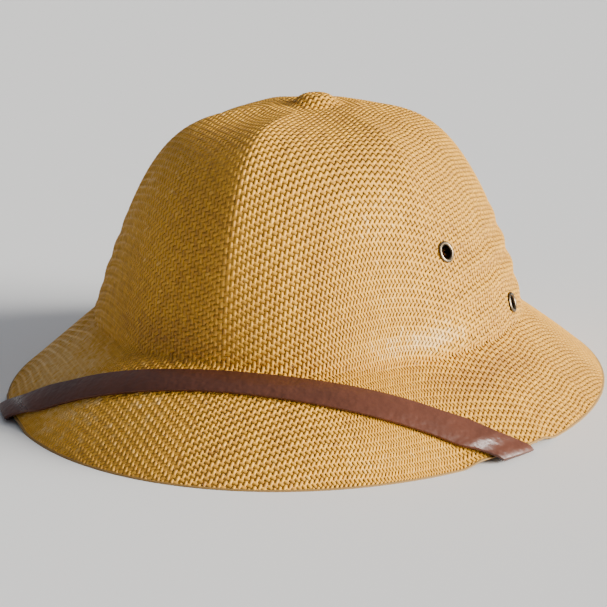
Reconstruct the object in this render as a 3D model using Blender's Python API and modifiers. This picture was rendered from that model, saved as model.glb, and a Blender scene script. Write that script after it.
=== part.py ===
"""A pressed straw sun helmet with a leather strap and four brass eyelets.

The shell is one woven piece: a turned disc that is blocked over a form. Its front faces -Y, the wearer's left
is +X, and it rests on the flat edge of its brim at z = 0. Azimuth is 0 at the front and grows to the left.
"""
import functools
import math
from collections import namedtuple

import bmesh
import bpy
import numpy as np
from mathutils import Matrix, Vector

# Driving dimensions of the straw body, in metres
BRIM_LENGTH = 0.330
BRIM_WIDTH = 0.285
CROWN_LENGTH = 0.2146
CROWN_WIDTH = 0.2034
CROWN_TOP = 0.1342
CROWN_LEAN = 0.0070
CREASE_HEIGHT = 0.0366
CREASE_SOFTNESS = 0.002
STRAW_WALL = 0.0018
KNOB_DIAMETER = 0.030
KNOB_FLAT_DIAMETER = 0.008
KNOB_RISE = 0.0050
RIDGE_RISE = 0.0045
PANEL_SINK = 0.0040
RIPPLE_PITCH = 0.0122
RIPPLE_DEPTH = 0.0007
RIPPLE_START = 0.0036
CROWN_SQUARENESS = 2.15
BRIM_SQUARENESS = 2.0

# Leather strap
STRAP_WIDTH = 0.0158
STRAP_THICKNESS = 0.0014
STRAP_MIDDLE_AZIMUTH = math.radians(6.5)
STRAP_HALF_SPAN = math.radians(50.5)
STRAP_NEAREST_SHARE = 0.170
STRAP_BEND_SETBACK = 0.009
STRAP_BEND_REACH = 0.0035
STRAP_END_LENGTH = 0.010
STRAP_LAID_LENGTH = 0.014
STRAP_CORNER_CLEARANCE = 0.0045
STRAP_CORNER_AZIMUTH = math.radians(76.0)
RELIEF_SHIFT = math.radians(2.0)
RELIEF_HALF_SPAN = math.radians(7.5)
RELIEF_EASE_SPAN = math.radians(5.0)

# Eyelets
EYELET_FLANGE_DIAMETER = 0.0101
EYELET_BORE_DIAMETER = 0.0064
EYELET_BARREL_WALL = 0.00045
EYELET_FLANGE_THICKNESS = 0.0007
UPPER_LEFT_EYELET_AZIMUTH = math.radians(62.5)
UPPER_RIGHT_EYELET_AZIMUTH = math.radians(71.5)
UPPER_EYELET_HEIGHT = 0.0791
LOWER_EYELET_AZIMUTH = math.radians(94.5)
LOWER_EYELET_HEIGHT = 0.0450

# Clearance between touching pieces, and the extra that a curved wall needs under a flat flange
GAP = 0.0003
CURVE_ALLOWANCE = 0.00030

# Facets
TURN_STEPS = 72
UPPER_CROWN_ROWS = 13
LOWER_CROWN_ROWS = 16
LOWER_CROWN_START = 0.68
CROWN_LINING_ROWS = 12
BRIM_ROWS = 10
BRIM_LINING_ROWS = 5
CROWN_ROW_EASE = 1.6
BRIM_ROW_EASE = 1.35
KNOB_LINING_SHARES = (0.03, 0.07)
EYELET_STEPS = 16
MERIDIAN_CROWN_POINTS = 240
MERIDIAN_BRIM_POINTS = 60
STRAP_MIDDLE_STATIONS = 20
STRAP_BEND_STATIONS = 26
STRAP_HIDDEN_STATIONS = 8
STRAP_CORNER_STATIONS = 3
STRAP_LAID_STATIONS = 5
STRAP_SKEW_STATIONS = 8
STRAP_FLAT_SHARE = 0.55
STRAP_TURN_SHARE = 1.50
STRAP_BEND_LENGTH = 0.0285
SHARE_STEP = 0.004
EYELET_CUT_DEPTH = 0.02

# The meridian's form at three places. crease: height of the crease as a share of CREASE_HEIGHT.
# wall_power and top_power: how square the crown's wall and top are. taper: how far the wall leans in.
# arch: how far the brim bows up, as a share of its reach.
Section = namedtuple("Section", "crease wall_power top_power taper arch")
FRONT = Section(crease=0.978, wall_power=6.64, top_power=1.66, taper=0.011, arch=0.060)
SIDE = Section(crease=0.971, wall_power=4.32, top_power=1.46, taper=0.091, arch=-0.003)
BACK = Section(crease=0.820, wall_power=3.80, top_power=1.67, taper=0.088, arch=0.045)

# Pressed ridges between the crown's panels. rise: share of RIDGE_RISE. spread: half width in degrees.
# foot: share of the way down the crown at which the ridge has run out.
Ridge = namedtuple("Ridge", "azimuth rise spread foot")
RIDGES = (
    Ridge(azimuth=0.0, rise=1.25, spread=32.0, foot=1.00),
    Ridge(azimuth=55.0, rise=0.40, spread=24.0, foot=0.75),
    Ridge(azimuth=-55.0, rise=0.40, spread=24.0, foot=0.75),
    Ridge(azimuth=128.0, rise=0.30, spread=24.0, foot=0.75),
    Ridge(azimuth=-128.0, rise=0.30, spread=24.0, foot=0.75),
    Ridge(azimuth=180.0, rise=0.25, spread=28.0, foot=0.90),
)
RIDGE_START = 0.14
RIDGE_TIP_SHARE = 0.06
SWELL_SKEW = 0.8
RIPPLE_ROWS = 4
RIPPLE_AZIMUTH = math.radians(100.0)
RIPPLE_HALF_SPAN = math.radians(75.0)

# Colours, linear
STRAW_COLOUR = (0.60, 0.40, 0.16, 1.0)
LEATHER_COLOUR = (0.16, 0.055, 0.03, 1.0)
BRASS_COLOUR = (0.42, 0.33, 0.22, 1.0)


def between_places(front, side, back, azimuth):
    """A value that is front, side or back there, and blends with the square of the azimuth's cosine."""
    facing = math.cos(azimuth)
    ahead = front if facing > 0 else back
    return side + (ahead - side) * facing * facing


def oval_reach(length, width, squareness, azimuth):
    """Distance from the hat's axis to an oval outline."""
    along = abs(math.cos(azimuth) / (length / 2)) ** squareness
    across = abs(math.sin(azimuth) / (width / 2)) ** squareness
    return (along + across) ** (-1 / squareness)


def bump(offset, half_span):
    """1 at no offset, falling smoothly to 0 at the half span and past it."""
    return 0.5 + 0.5 * math.cos(math.pi * min(1.0, abs(offset) / half_span))


def turn_between(azimuth, other):
    """The smallest turn from one azimuth to another."""
    return (azimuth - other + math.pi) % (2 * math.pi) - math.pi


def rim_height(azimuth):
    """The rim is flat at z = 0, and lifts over the strap, on both sides, by the room that the strap takes."""
    relief = STRAP_THICKNESS + 2 * GAP + CURVE_ALLOWANCE
    aside = abs(turn_between(azimuth, STRAP_MIDDLE_AZIMUTH)) - STRAP_HALF_SPAN - RELIEF_SHIFT
    return relief * bump(max(0.0, abs(aside) - RELIEF_HALF_SPAN), RELIEF_EASE_SPAN)


def swell(share, foot):
    """0 at the ridges' start, 1 near the middle and 0 again at a share called the foot."""
    part = (share - RIDGE_START) / (foot - RIDGE_START)
    return math.sin(math.pi * min(1.0, max(0.0, part)) ** SWELL_SKEW)


@functools.lru_cache(maxsize=None)
def meridian(azimuth):
    """The form's outer line at one azimuth, top to rim: run along it, reach and height, and the crease's run."""
    crease = CREASE_HEIGHT * between_places(FRONT.crease, SIDE.crease, BACK.crease, azimuth)
    wall_power = between_places(FRONT.wall_power, SIDE.wall_power, BACK.wall_power, azimuth)
    top_power = between_places(FRONT.top_power, SIDE.top_power, BACK.top_power, azimuth)
    taper = between_places(FRONT.taper, SIDE.taper, BACK.taper, azimuth)
    arch = between_places(FRONT.arch, SIDE.arch, BACK.arch, azimuth)
    crown_reach = oval_reach(CROWN_LENGTH, CROWN_WIDTH, CROWN_SQUARENESS, azimuth)
    brim_reach = oval_reach(BRIM_LENGTH, BRIM_WIDTH, BRIM_SQUARENESS, azimuth)

    angle = math.pi / 2 * np.linspace(0.0, 1.0, MERIDIAN_CROWN_POINTS) ** (wall_power / 2)
    fall = np.cos(angle).clip(0) ** (2 / top_power)
    reach = crown_reach * np.sin(angle) ** (2 / wall_power) * (1 - taper * fall)
    knob_side = (KNOB_DIAMETER - KNOB_FLAT_DIAMETER) / 2
    knob = 0.5 + 0.5 * np.cos(math.pi * np.clip((reach - KNOB_FLAT_DIAMETER / 2) / knob_side, 0, 1))
    height = crease + (CROWN_TOP - crease) * fall + KNOB_RISE * knob
    run = np.concatenate([[0.0], np.cumsum(np.hypot(np.diff(reach), np.diff(height)))])
    sink = PANEL_SINK * np.array([swell(share, 1.0) for share in run / run[-1]])
    out_way, up_way = -np.gradient(height, run), np.gradient(reach, run)
    reach, height = reach - sink * out_way, height - sink * up_way

    share = np.linspace(0.0, 1.0, MERIDIAN_BRIM_POINTS)[1:]
    brim_out = crown_reach + (brim_reach - crown_reach) * share
    brim_up = crease * (1 - share) + 4 * arch * (brim_reach - crown_reach) * share * (1 - share)
    brim_up += rim_height(azimuth) * share ** 2

    reach = np.concatenate([reach, brim_out])
    height = np.concatenate([height, brim_up])
    run = np.concatenate([[0.0], np.cumsum(np.hypot(np.diff(reach), np.diff(height)))])
    return run, reach, height, run[len(angle) - 1]


def ridge_rise(azimuth, share):
    """Height of the pressed ridges over the panels, at a share of the way from the top to the crease."""
    rise = 0.0
    for ridge in RIDGES:
        offset = abs(turn_between(azimuth, math.radians(ridge.azimuth))) / math.radians(ridge.spread)
        if offset < 1:
            sharp = max(0.0, 1 - math.sqrt(offset ** 2 + RIDGE_TIP_SHARE ** 2) + RIDGE_TIP_SHARE)
            rise += RIDGE_RISE * ridge.rise * sharp ** 2 * swell(share, ridge.foot)
    return rise


def eyelet_clamp(azimuth, height):
    """1 on an eyelet's middle, 0 away from it: the straw lies flat where an eyelet clamps it."""
    clamp = 0.0
    turn = turn_between(azimuth, 0.0)
    upper_azimuth = UPPER_LEFT_EYELET_AZIMUTH if turn > 0 else UPPER_RIGHT_EYELET_AZIMUTH
    for eyelet_azimuth, eyelet_height in ((upper_azimuth, UPPER_EYELET_HEIGHT),
                                          (LOWER_EYELET_AZIMUTH, LOWER_EYELET_HEIGHT)):
        aside = abs(abs(turn) - eyelet_azimuth) * CROWN_WIDTH / 2
        distance = math.hypot(aside, height - eyelet_height)
        clamp = max(clamp, bump(max(0.0, distance - EYELET_FLANGE_DIAMETER / 2), EYELET_FLANGE_DIAMETER))
    return clamp


def ripple_rise(azimuth, height, crease):
    """Low rings pressed round the sides of the crown above the crease."""
    rows_height = RIPPLE_PITCH * RIPPLE_ROWS
    drop = height - crease - RIPPLE_START
    if not 0 < drop < rows_height:
        return 0.0
    window = bump(abs(turn_between(azimuth, 0.0)) - RIPPLE_AZIMUTH, RIPPLE_HALF_SPAN)
    window *= math.sin(math.pi * drop / rows_height) ** 0.5 * (1 - eyelet_clamp(azimuth, height))
    return RIPPLE_DEPTH * window * math.sin(2 * math.pi * drop / RIPPLE_PITCH - math.pi / 2)


def along_meridian(azimuth, share):
    """Reach and height on the form: share 0 to 1 from the top to the crease, 1 to 2 from there to the rim."""
    run, reach, height, crease_run = meridian(azimuth)
    here = crease_run * share if share < 1 else crease_run + (run[-1] - crease_run) * (share - 1)
    soft = CREASE_SOFTNESS * max(0.0, 1 - abs(here - crease_run) / (3 * CREASE_SOFTNESS))
    spread = np.array([here - soft, here, here + soft])
    weights = np.array([0.25, 0.5, 0.25])
    return float(weights @ np.interp(spread, run, reach)), float(weights @ np.interp(spread, run, height))


def plan_direction(azimuth):
    """Unit vector away from the hat's axis."""
    return Vector((math.sin(azimuth), -math.cos(azimuth), 0.0))


def smooth_point(azimuth, share):
    """The form's point without ridges and ripples."""
    reach, height = along_meridian(azimuth, share)
    lean = 0.0
    if share < 1:
        crease = CREASE_HEIGHT * between_places(FRONT.crease, SIDE.crease, BACK.crease, azimuth)
        lean = CROWN_LEAN * max(0.0, height - crease) / (CROWN_TOP - crease)
    return plan_direction(azimuth) * reach + Vector((0, lean, height))


def smooth_normal(azimuth, share):
    """The form's outward normal."""
    if share < SHARE_STEP:
        return Vector((0, 0, 1))
    down = smooth_point(azimuth, min(share + SHARE_STEP, 2.0)) - smooth_point(azimuth, share - SHARE_STEP)
    turn = smooth_point(azimuth + SHARE_STEP, share) - smooth_point(azimuth - SHARE_STEP, share)
    return down.cross(turn).normalized()


def body_point(azimuth, share, rippled):
    """The straw body's outer surface."""
    if share == 0:
        return smooth_point(azimuth, share)
    rise = ridge_rise(azimuth, share)
    if rippled and share < 1:
        crease = CREASE_HEIGHT * between_places(FRONT.crease, SIDE.crease, BACK.crease, azimuth)
        rise += ripple_rise(azimuth, along_meridian(azimuth, share)[1], crease)
    return smooth_point(azimuth, share) + smooth_normal(azimuth, share) * rise


def body_normal(azimuth, share):
    """The straw body's outward normal, ridges and ripples included."""
    down = body_point(azimuth, share + SHARE_STEP, True) - body_point(azimuth, share - SHARE_STEP, True)
    turn = body_point(azimuth + SHARE_STEP, share, True) - body_point(azimuth - SHARE_STEP, share, True)
    return down.cross(turn).normalized()


def lining_share(azimuth, share):
    """The inner surface stops short of the rim, where it meets the flat under edge."""
    run, _, _, crease_run = meridian(azimuth)
    kept = 1 - STRAW_WALL / math.tan(rim_slope(azimuth)) / (run[-1] - crease_run)
    return share if share <= 1 else 1 + (share - 1) * kept


def rim_slope(azimuth):
    """How steeply the brim falls at the rim, in radians below level."""
    near = smooth_point(azimuth, 1.9)
    rim = smooth_point(azimuth, 2.0)
    return math.atan2(near.z - rim.z, (rim.xy.length - near.xy.length))


def share_at_height(azimuth, height):
    """Share of the way down the crown at a height."""
    shares = np.linspace(0.3, 1.0, 141)
    heights = np.array([along_meridian(azimuth, share)[1] for share in shares])
    return float(np.interp(-height, -heights, shares))


def new_object(name, mesh, collection):
    made = bpy.data.objects.new(name, mesh)
    collection.objects.link(made)
    return made


def plain_material(name, colour, roughness, metallic):
    """A Principled material."""
    material = bpy.data.materials.new(name)
    material.use_nodes = True
    shader = material.node_tree.nodes["Principled BSDF"]
    shader.inputs["Base Color"].default_value = colour
    shader.inputs["Roughness"].default_value = roughness
    shader.inputs["Metallic"].default_value = metallic
    return material


def row_shares():
    """Shares of the outer rows and of the inner rows, top to rim."""
    upper = [LOWER_CROWN_START * (row / UPPER_CROWN_ROWS) ** CROWN_ROW_EASE for row in range(UPPER_CROWN_ROWS)]
    lower = list(np.linspace(LOWER_CROWN_START, 1.0, LOWER_CROWN_ROWS + 1))
    brim = [1 + (row / BRIM_ROWS) ** BRIM_ROW_EASE for row in range(1, BRIM_ROWS + 1)]
    crown_lining = [0.0, *KNOB_LINING_SHARES] + [row / CROWN_LINING_ROWS for row in range(1, CROWN_LINING_ROWS + 1)]
    brim_lining = [1 + row / BRIM_LINING_ROWS for row in range(1, BRIM_LINING_ROWS + 1)]
    return upper + lower + brim, crown_lining + brim_lining


def make_straw_body(collection):
    """A flat double disc is turned, then every ring is blocked onto the form."""
    outer, inner = row_shares()
    mesh = bpy.data.meshes.new("straw_body")
    shell = bmesh.new()
    section = [(share, 0.0) for share in outer] + [(share, -1.0) for share in reversed(inner)]
    line = [shell.verts.new((reach, 0.0, level)) for reach, level in section]
    edges = [shell.edges.new(pair) for pair in zip(line, line[1:])]
    bmesh.ops.spin(shell, geom=line + edges, axis=(0, 0, 1), cent=(0, 0, 0), steps=TURN_STEPS,
                   angle=2 * math.pi, use_merge=True)
    bmesh.ops.remove_doubles(shell, verts=shell.verts, dist=1e-6)
    for vertex in shell.verts:
        share = vertex.co.xy.length
        azimuth = math.atan2(vertex.co.x, -vertex.co.y) if share > 1e-6 else 0.0
        azimuth = math.radians(round(math.degrees(azimuth), 4))
        if vertex.co.z > -0.5:
            vertex.co = body_point(azimuth, min(share, 2.0), True)
        else:
            lined = lining_share(azimuth, min(share, 2.0))
            vertex.co = (body_point(azimuth, lined, False)
                         - smooth_normal(azimuth, lined) * STRAW_WALL)
            if share > 1.999:
                vertex.co.z = rim_height(azimuth)
    bmesh.ops.recalc_face_normals(shell, faces=shell.faces)
    shell.to_mesh(mesh)
    shell.free()
    mesh.shade_smooth()
    return new_object("straw_body", mesh, collection)


def brim_share(azimuth, reach):
    """Share of the brim's width, 1 to 2, at a distance from the hat's axis."""
    run, reaches, _, crease_run = meridian(azimuth)
    first = MERIDIAN_CROWN_POINTS - 1
    here = float(np.interp(reach, reaches[first:], run[first:]))
    return 1 + (here - crease_run) / (run[-1] - crease_run)


def over_straw(azimuth, share):
    """The strap's middle surface over the brim, a little higher towards the rim, which its relief bends."""
    lift = GAP + STRAP_THICKNESS / 2 + CURVE_ALLOWANCE * (share - 1)
    return smooth_point(azimuth, share) + smooth_normal(azimuth, share) * lift


def rounded(corners, rounds):
    """A polyline with its corners cut again and again, until it is a smooth curve inside them."""
    for _ in range(rounds):
        cut = [corners[0]]
        for start, end in zip(corners, corners[1:]):
            cut += [start.lerp(end, 0.25), start.lerp(end, 0.75)]
        corners = cut + [corners[-1]]
    return corners


@functools.lru_cache(maxsize=None)
def bend_section(azimuth):
    """The strap's turn round the rim, seen along the rim: run, outward distance and height from the rim's edge."""
    lift = GAP + CURVE_ALLOWANCE + STRAP_THICKNESS / 2
    slope = rim_slope(azimuth)
    rim = smooth_point(azimuth, 2.0)
    share = brim_share(azimuth, rim.xy.length - STRAP_BEND_SETBACK)
    start = over_straw(azimuth, share)
    under = Vector((-math.cos(slope), math.sin(slope)))
    edge = -STRAW_WALL / math.sin(slope)
    inner = Vector((edge - lift - STRAP_THICKNESS, -lift))
    corners = [
        Vector((start.xy.length - rim.xy.length, start.z - rim.z)),
        Vector((STRAP_BEND_REACH, lift)),
        Vector((STRAP_BEND_REACH, -lift)),
        Vector((edge, -lift)),
        inner,
        inner + under * STRAP_WIDTH / 2,
        inner + under * STRAP_WIDTH * 2,
    ]
    line = np.array(rounded(corners, 4))
    run = np.concatenate([[0.0], np.cumsum(np.hypot(*np.diff(line, axis=0).T))])
    return run, line[:, 0], line[:, 1]


def over_brim(x, y):
    """A point of the strap's middle surface, from its place on the plan of the brim laid out flat past the rim."""
    azimuth = round(math.atan2(x, -y), 6)
    reach = math.hypot(x, y)
    rim = smooth_point(azimuth, 2.0)
    bend_reach = rim.xy.length - STRAP_BEND_SETBACK
    if reach <= bend_reach:
        return over_straw(azimuth, brim_share(azimuth, reach))
    run, outward, height = bend_section(azimuth)
    travel = (reach - bend_reach) / math.cos(rim_slope(azimuth))
    out = float(np.interp(travel, run, outward))
    up = float(np.interp(travel, run, height))
    return plan_direction(azimuth) * (rim.xy.length + out) + Vector((0, 0, rim.z + up))


def strap_plan(along):
    """The strap's middle line on the laid-out brim: along is -1 and 1 where it crosses the rim."""
    azimuth = STRAP_MIDDLE_AZIMUTH + along * STRAP_HALF_SPAN
    bow = 1 / math.cos(along * STRAP_HALF_SPAN) - 1
    full_bow = 1 / math.cos(STRAP_HALF_SPAN) - 1
    share = STRAP_NEAREST_SHARE + (1 - STRAP_NEAREST_SHARE) * bow / full_bow
    crown_reach = oval_reach(CROWN_LENGTH, CROWN_WIDTH, CROWN_SQUARENESS, azimuth)
    brim_reach = oval_reach(BRIM_LENGTH, BRIM_WIDTH, BRIM_SQUARENESS, azimuth)
    return plan_direction(azimuth) * (crown_reach + (brim_reach - crown_reach) * share)


def strap_edge(along, side):
    """A point across the strap on the laid-out brim: side is 1 at the crown's side, 0 mid way, -1 at the rim's."""
    step = 0.002
    middle = strap_plan(along)
    travel = (strap_plan(along + step) - strap_plan(along - step)).normalized()
    outward = middle.normalized()
    slope = rim_slope(round(math.atan2(middle.x, -middle.y), 6))
    fall = Vector((0, 0, -math.tan(slope) * travel.dot(outward)))
    normal = outward * math.sin(slope) + Vector((0, 0, math.cos(slope)))
    across = normal.cross((travel + fall).normalized()) * side * STRAP_WIDTH / 2
    return middle.x + across.x, middle.y + across.y


def past_bend(x, y):
    """How far a point of the laid-out brim lies past the line where the strap starts to turn down."""
    azimuth = round(math.atan2(x, -y), 6)
    return math.hypot(x, y) - smooth_point(azimuth, 2.0).xy.length + STRAP_BEND_SETBACK


def bend_rows(end):
    """Rows that lie along the rim while the strap turns round it, at the end -1 or 1 of its way over the brim."""
    places = np.linspace(STRAP_FLAT_SHARE, STRAP_TURN_SHARE, 60)
    alongs = {side: np.array([past_bend(*strap_edge(end * place, side)) for place in places]) for side in (1, 0, -1)}
    first = {side: float(np.interp(0.0, alongs[side], places)) for side in alongs}
    rows = []
    for part in np.linspace(0, 1, STRAP_SKEW_STATIONS + 2)[1:-1]:
        mixed = {side: STRAP_FLAT_SHARE + (first[side] - STRAP_FLAT_SHARE) * part for side in first}
        rows.append([over_brim(*strap_edge(end * mixed[side], side)) for side in (1, 0, -1)])
    for past in np.linspace(0.0, STRAP_BEND_LENGTH, STRAP_BEND_STATIONS):
        row = []
        for side in (1, 0, -1):
            place = float(np.interp(past, alongs[side], places))
            row.append(over_brim(*strap_edge(end * place, side)))
        rows.append(row)
    return rows


def wall_frame(azimuth, height):
    """A place on the crown's wall: point on the outer surface, normal, direction up the wall."""
    share = share_at_height(azimuth, height)
    point = body_point(azimuth, share, False)
    normal = smooth_normal(azimuth, share)
    up = (Vector((0, 0, 1)) - normal * normal.z).normalized()
    return point, normal, up


def laid_stations(side):
    """The strap's end, flat on the inside of the crown's wall and held by the lower eyelet."""
    depth = STRAW_WALL + GAP + CURVE_ALLOWANCE + STRAP_THICKNESS / 2
    reach = CROWN_WIDTH / 2
    first = LOWER_EYELET_AZIMUTH - STRAP_LAID_LENGTH / reach
    last = LOWER_EYELET_AZIMUTH + STRAP_END_LENGTH / reach
    rows = []
    for azimuth in np.linspace(first, last, STRAP_LAID_STATIONS):
        point, normal, up = wall_frame(side * float(azimuth), LOWER_EYELET_HEIGHT)
        middle = point - normal * depth
        rows.append([middle - up * STRAP_WIDTH / 2, middle, middle + up * STRAP_WIDTH / 2])
    return rows


def corner_row(side):
    """The strap where it passes the crease's inner corner, turned half way from the brim to the wall."""
    azimuth = side * STRAP_CORNER_AZIMUTH
    corner = smooth_point(azimuth, 1.0)
    outward = plan_direction(azimuth)
    middle = corner - outward * (STRAW_WALL + STRAP_CORNER_CLEARANCE) - Vector((0, 0, STRAP_CORNER_CLEARANCE))
    slope = rim_slope(azimuth)
    across = (Vector((0, 0, 1 + math.sin(slope))) - outward * math.cos(slope)).normalized() * STRAP_WIDTH / 2
    return [middle - across, middle, middle + across]


def free_stretch(start, start_way, end, end_way, stations):
    """Rows of a smooth stretch between two rows, leaving and arriving along the given ways."""
    rows = []
    for part in np.linspace(0, 1, stations + 2)[1:-1]:
        row = []
        for edge in range(3):
            handle = (end[edge] - start[edge]).length / 3
            first = start[edge] + start_way[edge].normalized() * handle
            last = end[edge] - end_way[edge].normalized() * handle
            row.append((1 - part) ** 3 * start[edge] + 3 * (1 - part) ** 2 * part * first
                       + 3 * (1 - part) * part ** 2 * last + part ** 3 * end[edge])
        rows.append(row)
    return rows


def hidden_stations(leaving, laid, side):
    """The strap's free way under the brim: past the crease's inner corner and up to the crown's wall."""
    corner = corner_row(side)
    leaving_way = [leaving[-1][edge] - leaving[-2][edge] for edge in range(3)]
    corner_way = [laid[0][edge] - leaving[-1][edge] for edge in range(3)]
    laid_way = [laid[1][edge] - laid[0][edge] for edge in range(3)]
    under_brim = free_stretch(leaving[-1], leaving_way, corner, corner_way, STRAP_HIDDEN_STATIONS)
    to_wall = free_stretch(corner, corner_way, laid[0], laid_way, STRAP_CORNER_STATIONS)
    return under_brim + [corner] + to_wall


def strap_rows():
    """All rows of three points along the strap, from its right end to its left end."""
    flat = np.linspace(-STRAP_FLAT_SHARE, STRAP_FLAT_SHARE, STRAP_MIDDLE_STATIONS)
    middle = [[over_brim(*strap_edge(float(along), side)) for side in (1, 0, -1)] for along in flat]
    ends = {}
    for side in (-1, 1):
        bend = bend_rows(side)
        laid = laid_stations(side)
        ends[side] = bend + hidden_stations(bend, laid, side) + laid
    return list(reversed(ends[-1])) + middle + ends[1]


def make_strap(collection):
    """A ribbon laid along its rows and given its thickness."""
    rows = strap_rows()
    mesh = bpy.data.meshes.new("strap")
    ribbon = bmesh.new()
    bmesh.ops.create_grid(ribbon, x_segments=len(rows) - 1, y_segments=2, size=1.0)
    for vertex in ribbon.verts:
        row = round((vertex.co.x + 1) / 2 * (len(rows) - 1))
        edge = round(vertex.co.y + 1)
        vertex.co = rows[row][2 - edge]
    ribbon.to_mesh(mesh)
    ribbon.free()
    mesh.shade_smooth()
    strap = new_object("strap", mesh, collection)
    skin = strap.modifiers.new("Leather", "SOLIDIFY")
    skin.thickness = STRAP_THICKNESS
    skin.offset = 0.0
    skin.use_even_offset = True
    return strap


def axis_matrix(point, axis):
    """A placement with local Z along the axis."""
    return Matrix.Translation(point) @ axis.to_track_quat("Z", "Y").to_matrix().to_4x4()


def make_eyelet(name, placement, depth, collection):
    """A hollow rivet: a domed flange outside, a barrel through the wall and a rolled edge inside."""
    bore = EYELET_BORE_DIAMETER / 2
    barrel = bore + EYELET_BARREL_WALL
    flange = EYELET_FLANGE_DIAMETER / 2
    rolled = flange - EYELET_FLANGE_THICKNESS
    seat = GAP
    crown = seat + EYELET_FLANGE_THICKNESS
    section = [
        (bore, seat),
        (barrel, crown),
        ((barrel + flange) / 2, crown),
        (flange, (seat + crown) / 2),
        (flange, seat),
        (barrel, seat),
        (barrel, -depth),
        (rolled, -depth),
        (rolled, -depth - EYELET_FLANGE_THICKNESS / 2),
        ((barrel + rolled) / 2, -depth - EYELET_FLANGE_THICKNESS),
        (bore, -depth - EYELET_FLANGE_THICKNESS),
    ]
    mesh = bpy.data.meshes.new(name)
    ring = bmesh.new()
    corners = [ring.verts.new((reach, 0.0, level)) for reach, level in section]
    for start, end in zip(corners, corners[1:] + corners[:1]):
        ring.edges.new((start, end))
    ring.to_mesh(mesh)
    ring.free()
    eyelet = new_object(name, mesh, collection)
    eyelet.matrix_world = placement
    turned = eyelet.modifiers.new("Turned", "SCREW")
    turned.steps = EYELET_STEPS
    turned.render_steps = EYELET_STEPS
    turned.use_merge_vertices = True
    turned.merge_threshold = 1e-5
    turned.use_smooth_shade = True
    return eyelet


def make_hole_cutter(name, placement, collection):
    """A round bar as wide as an eyelet's barrel with its clearance."""
    mesh = bpy.data.meshes.new(name)
    bar = bmesh.new()
    radius = EYELET_BORE_DIAMETER / 2 + EYELET_BARREL_WALL + GAP
    bmesh.ops.create_cone(bar, cap_ends=True, segments=EYELET_STEPS, radius1=radius, radius2=radius,
                          depth=EYELET_CUT_DEPTH)
    bar.to_mesh(mesh)
    bar.free()
    cutter = new_object(name, mesh, collection)
    cutter.matrix_world = placement
    cutter.hide_render = True
    cutter.display_type = "WIRE"
    return cutter


def cut(target, cutter):
    hole = target.modifiers.new(cutter.name, "BOOLEAN")
    hole.operation = "DIFFERENCE"
    hole.solver = "EXACT"
    hole.object = cutter


def main():
    for old in list(bpy.data.objects):
        bpy.data.objects.remove(old, do_unlink=True)
    hat = bpy.data.collections.new("straw_hat")
    cutters = bpy.data.collections.new("cutters")
    bpy.context.scene.collection.children.link(hat)
    bpy.context.scene.collection.children.link(cutters)

    straw = plain_material("Straw", STRAW_COLOUR, 0.6, 0.0)
    leather = plain_material("Leather", LEATHER_COLOUR, 0.4, 0.0)
    brass = plain_material("Antique brass", BRASS_COLOUR, 0.4, 1.0)

    body = make_straw_body(hat)
    body.data.materials.append(straw)
    strap = make_strap(hat)
    strap.data.materials.append(leather)

    wall_depth = STRAW_WALL + GAP + CURVE_ALLOWANCE
    strap_depth = wall_depth + STRAP_THICKNESS + GAP + CURVE_ALLOWANCE
    for side, side_name, upper_azimuth in ((1, "left", UPPER_LEFT_EYELET_AZIMUTH),
                                           (-1, "right", UPPER_RIGHT_EYELET_AZIMUTH)):
        for level, azimuth, height, depth in (
                ("upper", upper_azimuth, UPPER_EYELET_HEIGHT, wall_depth),
                ("lower", LOWER_EYELET_AZIMUTH, LOWER_EYELET_HEIGHT, strap_depth)):
            point, _, _ = wall_frame(side * azimuth, height)
            axis = body_normal(side * azimuth, share_at_height(side * azimuth, height))
            placement = axis_matrix(point, axis)
            name = f"eyelet_{level}_{side_name}"
            eyelet = make_eyelet(name, placement, depth, hat)
            eyelet.data.materials.append(brass)
            cutter = make_hole_cutter(f"{name}_hole", placement, cutters)
            cut(body, cutter)
            if level == "lower":
                cut(strap, cutter)
    bpy.context.view_layer.update()


main()
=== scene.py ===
"""A pressed straw sun helmet: plain-woven strands, a bound rim, a leather strap and antique brass eyelets.

The strands follow the hat's form as a square cloth does when it is steamed over a block. The front faces -Y,
the wearer's left is +X, and azimuth is 0 at the front and grows to the left. All lengths are in metres.
"""
import functools
import math
from collections import namedtuple

import bmesh
import bpy
import numpy as np
from bpy.props import FloatProperty, FloatVectorProperty, IntProperty, PointerProperty
from mathutils import Matrix, Vector


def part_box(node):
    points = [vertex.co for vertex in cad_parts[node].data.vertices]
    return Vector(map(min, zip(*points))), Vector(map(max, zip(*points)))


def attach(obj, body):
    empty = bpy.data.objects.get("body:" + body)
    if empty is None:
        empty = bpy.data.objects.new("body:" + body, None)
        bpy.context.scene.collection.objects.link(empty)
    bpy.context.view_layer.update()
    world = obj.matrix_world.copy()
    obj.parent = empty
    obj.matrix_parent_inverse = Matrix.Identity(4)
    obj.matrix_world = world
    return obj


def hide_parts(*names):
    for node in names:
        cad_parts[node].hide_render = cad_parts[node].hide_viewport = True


bl_info = {
    "name": "Straw sun helmet",
    "version": (1, 0, 0),
    "blender": (4, 5, 0),
    "location": "View3D > Sidebar > Straw Helmet",
    "description": "Weaves a straw sun helmet on its form, with strap, eyelets and a small studio",
    "category": "Add Mesh",
}

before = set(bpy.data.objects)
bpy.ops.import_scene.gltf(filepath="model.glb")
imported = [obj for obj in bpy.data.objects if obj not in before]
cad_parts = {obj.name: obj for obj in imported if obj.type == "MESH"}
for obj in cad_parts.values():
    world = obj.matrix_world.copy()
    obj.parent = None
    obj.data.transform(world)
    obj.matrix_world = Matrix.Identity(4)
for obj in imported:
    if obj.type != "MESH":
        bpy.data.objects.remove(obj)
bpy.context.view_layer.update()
BODY_LOW, BODY_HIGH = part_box("straw_body")

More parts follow.
